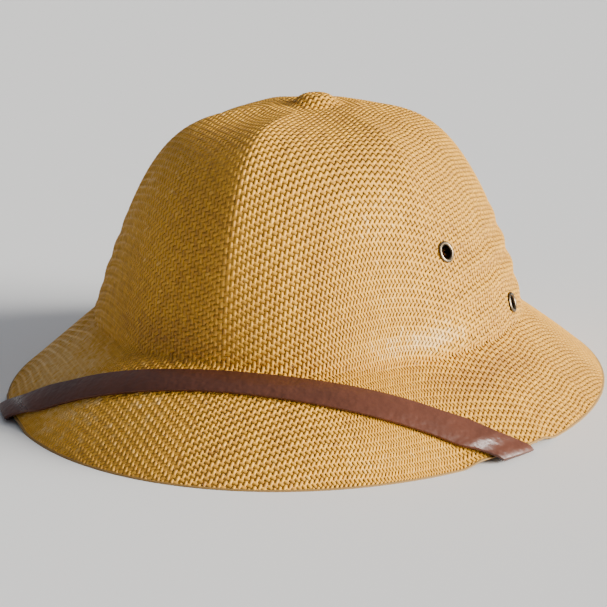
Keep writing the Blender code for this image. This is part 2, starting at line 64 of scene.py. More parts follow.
# The form of the straw body, as in the part's source
CROWN_LENGTH = 0.2146
CROWN_WIDTH = 0.2034
CROWN_TOP = 0.1342
CROWN_LEAN = 0.0070
CROWN_SQUARENESS = 2.15
BRIM_SQUARENESS = 2.0
CREASE_HEIGHT = 0.0366
CREASE_SOFTNESS = 0.002
KNOB_DIAMETER = 0.030
KNOB_FLAT_DIAMETER = 0.008
KNOB_RISE = 0.0050
PANEL_SINK = 0.0040
SWELL_SKEW = 0.8

# The rim lifts where the strap passes under it: how far, how far round to each side of the strap's middle,
# over how much of the rim, and how gently at both ends
STRAP_RELIEF = 0.0023
STRAP_MIDDLE_AZIMUTH = math.radians(6.5)
RELIEF_HALF_TURN = math.radians(52.5)
RELIEF_HALF_SPAN = math.radians(7.5)
RELIEF_EASE_SPAN = math.radians(5.0)

# Ridges start at a share of the run from the top to the crease, and their crest is rounded by the tip share
RIDGE_RISE = 0.0045
RIDGE_START = 0.14
RIDGE_TIP_SHARE = 0.06

# Low ripples round both sides of the crown, above the crease
RIPPLE_PITCH = 0.0122
RIPPLE_DEPTH = 0.0007
RIPPLE_START = 0.0036
RIPPLE_ROWS = 4
RIPPLE_AZIMUTH = math.radians(100.0)
RIPPLE_HALF_SPAN = math.radians(75.0)

# A fold pressed at the crown's foot, on both sides
FOLD_AZIMUTH = math.radians(60.0)
FOLD_HALF_SPAN = math.radians(50.0)
FOLD_WIDTH = 0.0032
FOLD_DEPTH = 0.0007

# Azimuth and height of each eyelet, where the straw is clamped flat
EYELET_PLACES = ((math.radians(62.5), 0.0791), (math.radians(-71.5), 0.0791),
                 (math.radians(94.5), 0.0450), (math.radians(-94.5), 0.0450))
EYELET_FLANGE_DIAMETER = 0.0101

# The outline at three places: the crease's height as a share of CREASE_HEIGHT, how squarely the wall and the
# top curve, how far the wall leans in towards the top, and how far the brim bulges as a share of its width
Section = namedtuple("Section", "crease wall_power top_power taper arch")
FRONT = Section(crease=0.978, wall_power=6.64, top_power=1.66, taper=0.011, arch=0.060)
SIDE = Section(crease=0.971, wall_power=4.32, top_power=1.46, taper=0.091, arch=-0.003)
BACK = Section(crease=0.820, wall_power=3.80, top_power=1.67, taper=0.088, arch=0.045)

# Azimuth and spread in degrees, the rise as a share of RIDGE_RISE, the foot as a share of the run
Ridge = namedtuple("Ridge", "azimuth rise spread foot")
RIDGES = (
    Ridge(azimuth=0.0, rise=1.25, spread=32.0, foot=1.00),
    Ridge(azimuth=55.0, rise=0.40, spread=24.0, foot=0.75),
    Ridge(azimuth=-55.0, rise=0.40, spread=24.0, foot=0.75),
    Ridge(azimuth=128.0, rise=0.30, spread=24.0, foot=0.75),
    Ridge(azimuth=-128.0, rise=0.30, spread=24.0, foot=0.75),
    Ridge(azimuth=180.0, rise=0.25, spread=28.0, foot=0.90),
)

# How finely the form is sampled, round it and down it from the top
NET_TURNS = 360
NET_RUN = 0.330
NET_STEPS = 330
LAST_STEP_MARGIN = 1e-6
CROWN_POINTS = 240
BRIM_POINTS = 225

# The form runs on past the rim, to this many brim widths from the crease, so that the cloth is trimmed there
BRIM_PAST = 4.5

# The crease is softened by blending places a little above and below it: shift and weight
CREASE_BLEND = ((-1, 0.25), (0, 0.5), (1, 0.25))
CREASE_BLEND_REACH = 3

# The cloth: how far from the top it is laid, and the steps by which its crossings settle on the form
CLOTH_REACH = 0.262
SETTLE_ROUNDS = 5
SLOPE_STEP = 0.0008
LONGEST_STEP = 0.0012
LEAST_SHEAR_SINE = 0.2
TINY = 1e-12

# Strands: pieces a direction, the part of the spacing they may fill, how their width varies (swells as length
# in crossings and share), the least part of a step at an end, and how far inside the rim they are trimmed
STRAND_PARTS = 4
STRAND_CROWDING = 0.98
STRAND_CLEARANCE = 0.00005
STRAND_EVENNESS = (0.90, 1.03)
STRAND_SWELLS = ((7.3, 0.05), (3.1, 0.04))
STRAND_LEAST_END = 0.1
HEM_COVER = 0.0007
MERGE_DISTANCE = 1e-7

# The rim's bead: inward run and depth of each corner
RIM_SECTION = ((0.0, 0.00005), (0.0005, -0.00002), (0.0012, 0.00012), (0.0016, 0.0006),
               (0.0033, 0.00175), (0.0015, 0.0008), (0.0003, 0.00015))

# The strap: which edges are eased, and its folds, which lie a little inside the rim
STRAP_EDGE_ANGLE = math.radians(40.0)
STRAP_EDGE_SEGMENTS = 2
BEND_SETBACK = 0.0035
BEND_HALF_WIDTH = 0.0040
BEND_RELIEF = 0.0030

# The eyelets: the straw is cut round them at the cut radius. Their section has a radius and a depth for each
# corner, from the bore's mouth outwards, over the flange and along the barrel to the clinched end
EYELET_NODES = ("eyelet_upper_left", "eyelet_upper_right", "eyelet_lower_left", "eyelet_lower_right")
EYELET_CUT_RADIUS = 0.0043
EYELET_STEPS = 48
EYELET_SECTION = (
    (0.00320, 0.00075), (0.00328, 0.00048), (0.00352, 0.00022), (0.00385, 0.00006), (0.00418, 0.0),
    (0.00452, 0.00010), (0.00480, 0.00028), (0.00498, 0.00048), (0.00505, 0.00060), (0.00498, 0.00070),
    (0.00460, 0.00070), (0.00365, 0.00070), (0.00365, 0.00335), (0.00420, 0.00340), (0.00435, 0.00355),
    (0.00433, 0.00375), (0.00415, 0.00398), (0.00380, 0.00410), (0.00340, 0.00405), (0.00320, 0.00385),
)

# Paler (+) or darker (-) places painted on the straw: mostly painted highlights and painted shade, in part
# wear. Their middle in degrees and height, half spans alike, and how much paler (+) or darker (-)
PaintedLightAndWearPlace = namedtuple("PaintedLightAndWearPlace", "azimuth height aside_span up_span amount")
PAINTED_LIGHT_AND_WEAR_PLACES = (
    PaintedLightAndWearPlace(azimuth=40.0, height=0.098, aside_span=20.0, up_span=0.026, amount=0.5),
    PaintedLightAndWearPlace(azimuth=43.0, height=0.066, aside_span=20.0, up_span=0.022, amount=0.45),
    PaintedLightAndWearPlace(azimuth=50.0, height=0.045, aside_span=30.0, up_span=0.012, amount=1.0),
    PaintedLightAndWearPlace(azimuth=33.0, height=0.008, aside_span=22.0, up_span=0.012, amount=0.35),
    PaintedLightAndWearPlace(azimuth=66.0, height=0.027, aside_span=30.0, up_span=0.010, amount=-0.8),
    PaintedLightAndWearPlace(azimuth=-18.0, height=0.045, aside_span=26.0, up_span=0.014, amount=-0.4),
    PaintedLightAndWearPlace(azimuth=-50.0, height=0.018, aside_span=60.0, up_span=0.032, amount=1.2),
    PaintedLightAndWearPlace(azimuth=-58.0, height=0.085, aside_span=58.0, up_span=0.075, amount=0.5),
)

# How much a strand's own tone, broad patches and the painted highlights, shade and wear each count, and the
# share of their sum in the ramp
TONE_SHARE = 0.3
PATCH_SHARE = 0.5
PAINTED_LIGHT_AND_WEAR_SHARE = 0.55
RAMP_SHARE = 0.5

# The patterns in the straw (31 mm patches, 6 mm fibres) and in the leather (17 mm clouds, 3.3 mm crinkles in
# the fold, 0.7 mm grain), with the leather's roughness where it is plain and where it is rubbed
PATCH_SIZE = 0.03125
FIBRE_LENGTH = 0.00625
CLOUD_SIZE = 0.01667
CRINKLE_SIZE = 0.003333
GRAIN_SIZE = 0.0007143
GRAIN_RELIEF = 0.00008
GRAIN_STRENGTH = 0.12
CRINKLE_SHARE = 0.12
LEATHER_ROUGHNESS = 0.38
RUBBED_ROUGHNESS = 0.25

# The studio: far soft lamps, azimuth and elevation in degrees
WORLD_STRENGTH = 0.16
WORLD_COLOUR = "#dfe9ff"
Lamp = namedtuple("Lamp", "name azimuth elevation strength spread colour")
LAMPS = (
    Lamp("key", 97.0, 8.0, 13.5, math.radians(34.0), (1.0, 0.97, 0.91)),
    Lamp("side", 99.0, 32.0, 1.7, math.radians(14.0), (1.0, 0.98, 0.94)),
    Lamp("top", 112.0, 60.0, 0.6, math.radians(100.0), (1.0, 0.99, 0.98)),
    Lamp("fill", -125.0, 42.0, 0.25, math.radians(90.0), (0.95, 0.98, 1.0)),
)
FLOOR_HALF = 8.0
FLOOR_COLOUR = "#eeeeed"

# The camera: lens and sensor in millimetres, azimuth and elevation in degrees
CAMERA_LENS = 125.4
CAMERA_SENSOR = 36.0
CAMERA_SHIFT = (-0.0111, 0.0084)
CAMERA_AZIMUTH = 21.12
CAMERA_ELEVATION = 15.805
CAMERA_TARGET = (0, 0, 0.034)
CAMERA_DISTANCE = 1.0323
CAMERA_CLIP_START = 0.05

FormNet = namedtuple("FormNet", "points normals rim_run")


def hex_linear(code):
    """A linear colour from an sRGB hex value."""
    parts = [int(code[start:start + 2], 16) / 255 for start in (1, 3, 5)]
    linear = [part / 12.92 if part <= 0.04045 else ((part + 0.055) / 1.055) ** 2.4 for part in parts]
    return tuple(linear) + (1.0,)


def bump(offset, half_span):
    """1 at no offset, falling smoothly to 0 at the half span and past it."""
    return 0.5 + 0.5 * np.cos(np.pi * np.clip(np.abs(offset) / half_span, 0, 1))


def turn_between(azimuth, other):
    """The smallest turn from one azimuth to another."""
    return (azimuth - other + np.pi) % (2 * np.pi) - np.pi


def between_places(front, side, back, azimuth):
    """A value that is front, side or back there, and blends with the square of the azimuth's cosine."""
    facing = np.cos(azimuth)
    ahead = np.where(facing > 0, front, back)
    return side + (ahead - side) * facing * facing


def oval_reach(length, width, squareness, azimuth):
    """Distance from the hat's axis to an oval outline."""
    along = np.abs(np.cos(azimuth) / (length / 2)) ** squareness
    across = np.abs(np.sin(azimuth) / (width / 2)) ** squareness
    return (along + across) ** (-1 / squareness)


def rim_reach(azimuth):
    """Distance from the hat's axis to the rim, as seen from above."""
    return oval_reach(BODY_HIGH.y - BODY_LOW.y, BODY_HIGH.x - BODY_LOW.x, BRIM_SQUARENESS, azimuth)


def rim_height(azimuth):
    """The rim is flat, and lifts over the strap by the room that the strap takes."""
    aside = np.abs(turn_between(azimuth, STRAP_MIDDLE_AZIMUTH)) - RELIEF_HALF_TURN
    return STRAP_RELIEF * bump(np.maximum(0, np.abs(aside) - RELIEF_HALF_SPAN), RELIEF_EASE_SPAN)


def swell(share, foot):
    """0 at the ridges' start, 1 near the middle and 0 again at a share called the foot."""
    part = np.clip((share - RIDGE_START) / (foot - RIDGE_START), 0, 1)
    return np.sin(np.pi * part ** SWELL_SKEW)


def crown_and_brim(azimuth):
    """The outer line from the top to past the rim, a row for each azimuth: reach, height, crease height."""
    place = {}
    for name in Section._fields:
        sections = (getattr(section, name) for section in (FRONT, SIDE, BACK))
        place[name] = between_places(*sections, azimuth)[:, None]
    crease = CREASE_HEIGHT * place["crease"]
    crown_reach = oval_reach(CROWN_LENGTH, CROWN_WIDTH, CROWN_SQUARENESS, azimuth)[:, None]
    brim_reach = rim_reach(azimuth)[:, None]

    angle = np.pi / 2 * np.linspace(0, 1, CROWN_POINTS)[None, :] ** (place["wall_power"] / 2)
    fall = np.cos(angle).clip(0) ** (2 / place["top_power"])
    reach = crown_reach * np.sin(angle) ** (2 / place["wall_power"]) * (1 - place["taper"] * fall)
    knob = bump((reach - KNOB_FLAT_DIAMETER / 2).clip(0), (KNOB_DIAMETER - KNOB_FLAT_DIAMETER) / 2)
    height = crease + (CROWN_TOP - crease) * fall + KNOB_RISE * knob
    run = run_along(reach, height)
    sink = PANEL_SINK * swell(run / run[:, -1:], 1.0)
    across, up = np.gradient(reach, axis=1), np.gradient(height, axis=1)
    length = np.hypot(across, up)
    reach, height = reach + sink * up / length, height - sink * across / length

    share = np.linspace(0, BRIM_PAST, BRIM_POINTS + 1)[None, 1:]
    arch = place["arch"] * (brim_reach - crown_reach)
    brim_out = crown_reach + (brim_reach - crown_reach) * share
    inside = np.clip(share, 0, 1)
    brim_up = crease * (1 - share) + 4 * arch * (inside * (1 - inside) - np.clip(share - 1, 0, None))
    brim_up += rim_height(azimuth)[:, None] * share.clip(0, 1) ** 2
    return np.concatenate([reach, brim_out], 1), np.concatenate([height, brim_up], 1), crease


def run_along(reach, height):
    """Distance along a line from its start."""
    steps = np.hypot(np.diff(reach, axis=1), np.diff(height, axis=1))
    return np.concatenate([np.zeros((len(steps), 1)), np.cumsum(steps, 1)], 1)


def ridge_rise(azimuth, share):
    """Height of the pressed ridges over the panels."""
    rise = np.zeros_like(share)
    for ridge in RIDGES:
        offset = np.abs(turn_between(azimuth, math.radians(ridge.azimuth))) / math.radians(ridge.spread)
        sharp = np.clip(1 - np.sqrt(offset ** 2 + RIDGE_TIP_SHARE ** 2) + RIDGE_TIP_SHARE, 0, None)
        rise += RIDGE_RISE * ridge.rise * sharp ** 2 * swell(share, ridge.foot) * (offset < 1)
    return rise


def ripple_rise(azimuth, height, crease):
    """Low rings pressed round the crown's sides above the crease, flat where an eyelet clamps the straw."""
    drop = height - crease - RIPPLE_START
    rows_height = RIPPLE_PITCH * RIPPLE_ROWS
    clamp = np.zeros_like(height)
    for eyelet_azimuth, eyelet_height in EYELET_PLACES:
        aside = np.abs(turn_between(azimuth, eyelet_azimuth)) * CROWN_WIDTH / 2
        distance = np.hypot(aside, height - eyelet_height) - EYELET_FLANGE_DIAMETER / 2
        clamp = np.maximum(clamp, bump(distance.clip(0), EYELET_FLANGE_DIAMETER))
    window = bump(np.abs(turn_between(azimuth, 0.0)) - RIPPLE_AZIMUTH, RIPPLE_HALF_SPAN)
    ring = np.sin(np.pi * np.clip(drop / rows_height, 0, 1)) ** 0.5 * (1 - clamp)
    return RIPPLE_DEPTH * window * ring * np.sin(2 * np.pi * drop / RIPPLE_PITCH - np.pi / 2)


def fold_rise(azimuth, past_crease):
    """A pressed fold at the crown's foot: a low roll above the crease and a sharp line in it."""
    window = bump(np.abs(turn_between(azimuth, 0.0)) - FOLD_AZIMUTH, FOLD_HALF_SPAN)
    roll, line = bump(past_crease + FOLD_WIDTH, FOLD_WIDTH), bump(past_crease, FOLD_WIDTH / 2)
    return FOLD_DEPTH * window * (roll - line)


def net_normals(points):
    """Outward normals of a net whose first axis goes round and whose second goes down from the top."""
    turn = np.roll(points, -1, 0) - np.roll(points, 1, 0)
    down = np.gradient(points, axis=1)
    normal = np.cross(down, turn)
    normal[:, 0] = (0, 0, 1)
    return normal / np.linalg.norm(normal, axis=2, keepdims=True)


@functools.lru_cache(maxsize=None)
def form_net(rippled=True):
    """The outer surface, sampled at even azimuths and at even runs from the top."""
    azimuth = np.linspace(0, 2 * np.pi, NET_TURNS, endpoint=False)
    reach_line, height_line, crease = crown_and_brim(azimuth)
    run_line = run_along(reach_line, height_line)
    crease_run = run_line[:, CROWN_POINTS - 1]
    rim_index = CROWN_POINTS - 1 + BRIM_POINTS / BRIM_PAST
    rim_run = np.array([np.interp(rim_index, np.arange(run.size), run) for run in run_line])
    run = np.linspace(0, NET_RUN, NET_STEPS + 1)[None, :].repeat(NET_TURNS, 0)
    past_crease = run - crease_run[:, None]
    soft_reach = CREASE_BLEND_REACH * CREASE_SOFTNESS
    soft = CREASE_SOFTNESS * np.clip(1 - np.abs(past_crease) / soft_reach, 0, None)
    reach, height = np.zeros_like(run), np.zeros_like(run)
    for shift, weight in CREASE_BLEND:
        for row in range(NET_TURNS):
            here = run[row] + shift * soft[row]
            reach[row] += weight * np.interp(here, run_line[row], reach_line[row])
            height[row] += weight * np.interp(here, run_line[row], height_line[row])
    on_crown = run < crease_run[:, None]
    lean = on_crown * CROWN_LEAN * np.clip(height - crease, 0, None) / (CROWN_TOP - crease)
    spread = azimuth[:, None]
    points = np.stack([reach * np.sin(spread), lean - reach * np.cos(spread), height], 2)
    share = np.minimum(run / crease_run[:, None], 1.0)
    turns = np.broadcast_to(spread, share.shape)
    rise = ridge_rise(turns, share)
    if rippled:
        rise += np.where(on_crown, ripple_rise(turns, height, crease), 0)
        rise += fold_rise(turns, past_crease)
    points = points + net_normals(points) * rise[:, :, None]
    return FormNet(points, net_normals(points), rim_run)


def chart_turn(chart):
    """The net's turn at places of the chart, which is the form rolled out flat round its top."""
    return (np.arctan2(chart[..., 0], -chart[..., 1]) / (2 * np.pi) * NET_TURNS) % NET_TURNS


def read_net(table, chart):
    """Values of a net's table at places of the chart."""
    run = np.hypot(chart[..., 0], chart[..., 1])
    turn = chart_turn(chart)
    step = np.clip(run / NET_RUN * NET_STEPS, 0, NET_STEPS - LAST_STEP_MARGIN)
    turn_low, step_low = np.floor(turn).astype(int) % NET_TURNS, np.floor(step).astype(int)
    turn_part, step_part = (turn - np.floor(turn))[..., None], (step - step_low)[..., None]
    turn_high = (turn_low + 1) % NET_TURNS
    low = table[turn_low, step_low] * (1 - turn_part) + table[turn_high, step_low] * turn_part
    high = table[turn_low, step_low + 1] * (1 - turn_part) + table[turn_high, step_low + 1] * turn_part
    return low * (1 - step_part) + high * step_part


def run_left(chart):
    """How far a place of the chart lies inside the rim, along the form."""
    rim_run = form_net().rim_run
    rim = np.interp(chart_turn(chart), np.arange(NET_TURNS + 1), np.append(rim_run, rim_run[0]))
    return rim - np.hypot(chart[..., 0], chart[..., 1])


def axis_crossings(table, turn, pitch, count):
    """Chart places of the crossings along a middle thread, which runs straight down from the top."""
    line = table[turn % NET_TURNS]
    length = np.concatenate([[0], np.cumsum(np.linalg.norm(np.diff(line, axis=0), axis=1))])
    run = np.interp(np.arange(count) * pitch, length, np.linspace(0, NET_RUN, NET_STEPS + 1))
    azimuth = 2 * np.pi * turn / NET_TURNS
    return run[:, None] * np.array([math.sin(azimuth), -math.cos(azimuth)])


def settle(table, chart, anchors, pitches):
    """Moves chart places until they lie at the two pitches from their two neighbours, along the form."""
    goals = [read_net(table, anchor) for anchor in anchors]
    nudges = (np.array([SLOPE_STEP, 0]), np.array([0, SLOPE_STEP]))
    for _ in range(SETTLE_ROUNDS):
        point = read_net(table, chart)
        slopes = [(read_net(table, chart + nudge) - point) / SLOPE_STEP for nudge in nudges]
        rows, misses = [], []
        for goal, pitch in zip(goals, pitches):
            gap = point - goal
            length = np.linalg.norm(gap, axis=-1) + TINY
            rows.append([(gap * slope).sum(-1) / length for slope in slopes])
            misses.append(length - pitch)
        shear = rows[0][0] * rows[1][1] - rows[0][1] * rows[1][0]
        least = LEAST_SHEAR_SINE * np.where(shear < 0, -1, 1)
        shear = np.where(np.abs(shear) < LEAST_SHEAR_SINE, least, shear)
        step = np.stack([(rows[1][1] * misses[0] - rows[0][1] * misses[1]) / shear,
                         (rows[0][0] * misses[1] - rows[1][0] * misses[0]) / shear], -1)
        length = np.linalg.norm(step, axis=-1, keepdims=True) + TINY
        chart = chart - step * np.minimum(1, LONGEST_STEP / length)
    return chart


def quarter_cloth(table, down_turn, side_turn, pitches):
    """One quarter of the cloth, grown crossing by crossing from its two middle threads."""
    count = int(CLOTH_REACH / min(pitches))
    quarter = np.zeros((count, count, 2))
    quarter[:, 0] = axis_crossings(table, side_turn, pitches[0], count)
    quarter[0, :] = axis_crossings(table, down_turn, pitches[1], count)
    for level in range(2, 2 * count - 1):
        first = np.arange(max(1, level - count + 1), min(count, level))
        second = level - first
        before, above = quarter[first - 1, second], quarter[first, second - 1]
        guess = before + above - quarter[first - 1, second - 1]
        near = np.hypot(guess[:, 0], guess[:, 1]) < CLOTH_REACH
        if near.any():
            guess[near] = settle(table, guess[near], (before[near], above[near]), pitches)
        quarter[first, second] = guess
    return quarter


def draped_cloth(pitches):
    """Where each crossing of the cloth lands on the chart once it is steamed over the form.

    Strands keep their pitch and the cells shear. The middle warp strand lies on the front and back ridges.
    """
    table = form_net(False).points
    front = quarter_cloth(table, 0, NET_TURNS // 4, pitches)
    back = quarter_cloth(table, NET_TURNS // 2, NET_TURNS // 4, pitches)
    left = np.concatenate([back[:, :0:-1], front], 1)
    right = left[:0:-1] * np.array([-1, 1])
    return np.concatenate([right, left], 0)


# The woven strands

def crossings(settings):
    """The cloth's crossings: chart places, spacings both ways, and how far inside the straw each lies."""
    chart = draped_cloth((settings.warp_pitch, settings.weft_pitch))
    points = read_net(form_net(False).points, chart)
    step_warp, step_weft = np.gradient(points, axis=1), np.gradient(points, axis=0)
    area = np.linalg.norm(np.cross(step_warp, step_weft), axis=-1)
    spacings = (area / np.linalg.norm(step_warp, axis=-1), area / np.linalg.norm(step_weft, axis=-1))
    inside = run_left(chart) - HEM_COVER
    for centre, _, _ in eyelet_places():
        inside = np.minimum(inside, np.linalg.norm(points - np.array(centre), axis=-1) - EYELET_CUT_RADIUS)
    return chart, spacings, inside


def strand_stretches(inside):
    """The stretches of one strand inside the straw: start, first crossing, the one after the last, end."""
    alive = inside > 0
    edges = np.flatnonzero(np.diff(np.concatenate([[0], alive.astype(int), [0]])))
    for low, high in zip(edges[::2], edges[1::2]):
        if high - low >= 2 and low > 0 and high < len(inside):
            before = inside[low] / (inside[low] - inside[low - 1])
            after = inside[high - 1] / (inside[high - 1] - inside[high])
            yield low - before, low, high, high - 1 + after


def unit(vectors):
    """Vectors brought to length one."""
    return vectors / (np.linalg.norm(vectors, axis=-1, keepdims=True) + TINY)


def strand_rings(chart, spacing, first_wave, stretch, settings, random):
    """The rings of one flat straw strand that weaves over and under, closed at both ends."""
    start, low, high, end = stretch
    steps = np.arange(2 * low - 1, 2 * high) / 2
    kept = (steps > start + STRAND_LEAST_END) & (steps < end - STRAND_LEAST_END)
    steps = np.concatenate([[start], steps[kept], [end]])
    places = np.arange(len(chart))
    chart = np.stack([np.interp(steps, places, chart[:, side]) for side in (0, 1)], 1)
    wave = first_wave * np.cos(np.pi * steps)
    uneven = random.uniform(*STRAND_EVENNESS)
    for length, part in STRAND_SWELLS:
        uneven = uneven + part * np.sin(2 * np.pi * steps / length + random.uniform(0, 2 * np.pi))
    widest = STRAND_CROWDING * np.interp(steps, places, spacing)
    half_width = np.minimum(settings.strand_width, widest) / 2 * uneven
    half_height = settings.strand_height / 2
    depth = settings.strand_wave + half_height + STRAND_CLEARANCE
    normals = unit(read_net(form_net().normals, chart))
    centres = read_net(form_net().points, chart) + normals * (wave * settings.strand_wave - depth)[:, None]
    along = unit(np.gradient(centres, axis=0))
    across = unit(np.cross(along, normals)) * half_width[:, None]
    out = unit(np.cross(across, along)) * half_height
    rings = np.stack([centres + across, centres + out, centres - across, centres - out, centres + across], 0)
    rings[..., 2] = np.maximum(rings[..., 2], STRAND_CLEARANCE)
    tips = rings.mean(0)
    return np.concatenate([tips[None, :1].repeat(5, 0), rings, tips[None, -1:].repeat(5, 0)], 1)


def weave_pieces(settings):
    """The strands of both directions, sorted into a few pieces: a name and a list of rings for each."""
    random = np.random.default_rng(settings.seed)
    chart, spacings, inside = crossings(settings)
    for name, axis, sign in (("warp", 0, 1.0), ("weft", 1, -1.0)):
        tables = [np.moveaxis(table, axis, 0) for table in (chart, spacings[axis], inside)]
        for part, rows in enumerate(np.array_split(np.arange(len(tables[0])), STRAND_PARTS)):
            rings = []
            for row in rows:
                places, spacing, depths = (table[row] for table in tables)
                wave = sign * (-1.0) ** row
                for stretch in strand_stretches(depths):
                    rings.append(strand_rings(places, spacing, wave, stretch, settings, random))
            yield f"{name}_strands_{part + 1}", rings


def finished_mesh(name, builder):
    """A mesh object at the origin from a bmesh, its doubles merged and its faces turned outwards."""
    bmesh.ops.remove_doubles(builder, verts=builder.verts, dist=MERGE_DISTANCE)
    bmesh.ops.recalc_face_normals(builder, faces=builder.faces)
    for face in builder.faces:
        face.smooth = True
    mesh = bpy.data.meshes.new(name)
    builder.to_mesh(mesh)
    builder.free()
    piece = bpy.data.objects.new(name, mesh)
    bpy.context.scene.collection.objects.link(piece)
    return piece


def lay_grid(builder, table):
    """Adds a grid whose vertices lie at a table's places: rows by columns by three."""
    rows, columns = table.shape[:2]
    grid = bmesh.ops.create_grid(builder, x_segments=columns - 1, y_segments=rows - 1, size=1.0)
    for vertex, place in zip(grid["verts"], table.reshape(-1, 3)):
        vertex.co = place
    return grid["verts"]


def painted_light_and_wear(points):
    """How much paler (above 0) or darker the straw is painted at some points: painted highlights and shade,
    in part wear.
    """
    azimuth = np.degrees(np.arctan2(points[..., 0], -points[..., 1]))
    light_and_wear = np.zeros(azimuth.shape)
    for place in PAINTED_LIGHT_AND_WEAR_PLACES:
        aside = (azimuth - place.azimuth) / place.aside_span
        up = (points[..., 2] - place.height) / place.up_span
        # Each place paints a highlight (paler) or shade (darker) into the colour, in part as wear
        light_and_wear += place.amount * bump(np.hypot(aside, up), 1.0)
    return light_and_wear


def woven_object(name, rings, seed):
    """One piece of many strands, each with its own tone and with its length kept for the fibres."""
    builder = bmesh.new()
    tone_layer = builder.verts.layers.float.new("tone")
    length_layer = builder.verts.layers.float.new("length")
    # The paler and darker places: painted highlights and painted shade, in part wear
    light_and_wear_layer = builder.verts.layers.float.new("light_and_wear")
    random = np.random.default_rng(seed)
    for ring in rings:
        tone = float(random.random())
        start = float(random.random())
        line = ring.mean(0)
        length = start + np.concatenate([[0], np.cumsum(np.linalg.norm(np.diff(line, axis=0), axis=1))])
        values = zip(np.tile(length, len(ring)), np.tile(painted_light_and_wear(line), len(ring)))
        for vertex, (place, light_and_wear) in zip(lay_grid(builder, ring), values):
            vertex[tone_layer] = tone
            vertex[length_layer] = place
            vertex[light_and_wear_layer] = light_and_wear
    return finished_mesh(name, builder)


# The rim, the strap and the eyelets

def rim_piece():
    """The bound edge of the brim: a smooth bead that follows the rim and holds the ends of the strands."""
    net = form_net()
    turn = np.arange(NET_TURNS + 1) % NET_TURNS
    azimuth = 2 * np.pi * turn / NET_TURNS
    outward = np.stack([np.sin(azimuth), -np.cos(azimuth)], 1)
    table = []
    for inward, depth in RIM_SECTION + RIM_SECTION[:1]:
        chart = outward * (net.rim_run[turn] - inward)[:, None]
        table.append(read_net(net.points, chart) - unit(read_net(net.normals, chart)) * depth)
    table = np.stack(table, 0)
    table[..., 2] = np.maximum(table[..., 2], 0)
    builder = bmesh.new()
    lay_grid(builder, table)
    return finished_mesh("rim_binding", builder)


def merged_copy(node):
    """A bmesh with a solid's form, its doubles merged."""
    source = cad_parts[node]
    builder = bmesh.new()
    builder.from_mesh(source.data)
    bmesh.ops.transform(builder, matrix=source.matrix_world, verts=builder.verts)
    bmesh.ops.remove_doubles(builder, verts=builder.verts, dist=MERGE_DISTANCE)
    return builder


def strap_piece(settings):
    """The leather strap with its cut edges eased."""
    builder = merged_copy("strap")
    bmesh.ops.recalc_face_normals(builder, faces=builder.faces)
    edges = [edge for edge in builder.edges if edge.calc_face_angle(0.0) > STRAP_EDGE_ANGLE]
    bmesh.ops.bevel(builder, geom=edges, offset=settings.strap_edge, segments=STRAP_EDGE_SEGMENTS,
                    profile=0.5, affect="EDGES", material=-1)
    bend_layer = builder.verts.layers.float.new("bend")
    for vertex in builder.verts:
        azimuth = math.atan2(vertex.co.x, -vertex.co.y)
        vertex[bend_layer] = vertex.co.xy.length - rim_reach(azimuth) + BEND_SETBACK
    return finished_mesh("leather_strap", builder)


@functools.lru_cache(maxsize=None)
def eyelet_places():
    """Centre of the outer end, outward axis and node of each eyelet, measured on its solid.

    An eyelet is shorter than it is wide, so its axis is the direction in which its corners spread least.
    """
    places = []
    for node in EYELET_NODES:
        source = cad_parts[node]
        corners = np.array([tuple(source.matrix_world @ vertex.co) for vertex in source.data.vertices])
        centre = corners.mean(0)
        axis = np.linalg.svd(corners - centre, full_matrices=False)[2][2]
        axis *= np.sign(axis[:2] @ centre[:2])
        end = ((corners - centre) @ axis).max()
        places.append((tuple(centre + axis * end), tuple(axis), node))
    return tuple(places)


def eyelet_piece(centre, axis, node):
    """One eyelet: a turned section with a rolled flange outside and a clinched one inside."""
    builder = bmesh.new()
    section = [builder.verts.new((radius, 0, -depth)) for radius, depth in EYELET_SECTION]
    edges = [builder.edges.new(pair) for pair in zip(section, section[1:] + section[:1])]
    bmesh.ops.spin(builder, geom=section + edges, cent=(0, 0, 0), axis=(0, 0, 1), dvec=(0, 0, 0),
                   angle=2 * math.pi, steps=EYELET_STEPS, use_merge=True)
    turn = Vector((0, 0, 1)).rotation_difference(Vector(axis)).to_matrix().to_4x4()
    bmesh.ops.transform(builder, matrix=Matrix.Translation(centre) @ turn, verts=builder.verts)
    return finished_mesh("brass_" + node, builder)


# Materials

def add_node(tree, kind, place, settings=None, links=None):
    """Adds a node, sets its values and sockets, and links its inputs from other nodes' outputs."""
    node = tree.nodes.new(kind)
    node.location = place
    for name, value in (settings or {}).items():
        if isinstance(name, int) or name in node.inputs:
            node.inputs[name].default_value = value
        else:
            setattr(node, name, value)
    for name, output in (links or {}).items():
        tree.links.new(output, node.inputs[name])
    return node


def new_material(name, **values):
    """A material, its node tree and its shader with constant values set."""
    material = bpy.data.materials.new(name)
    material.use_nodes = True
    tree = material.node_tree
    shader = tree.nodes["Principled BSDF"]
    for socket, value in values.items():
        shader.inputs[socket.replace("_", " ")].default_value = value
    return material, tree, shader


def ramp_node(tree, place, factor, *stops):
    """A colour ramp over a factor, with a position and a colour for each stop."""
    ramp = add_node(tree, "ShaderNodeValToRGB", place, {}, {"Fac": factor})
    elements = ramp.color_ramp.elements
    while len(elements) < len(stops):
        elements.new(0.5)
    for element, (position, colour) in zip(elements, stops):
        element.position = position
        element.color = colour
    return ramp


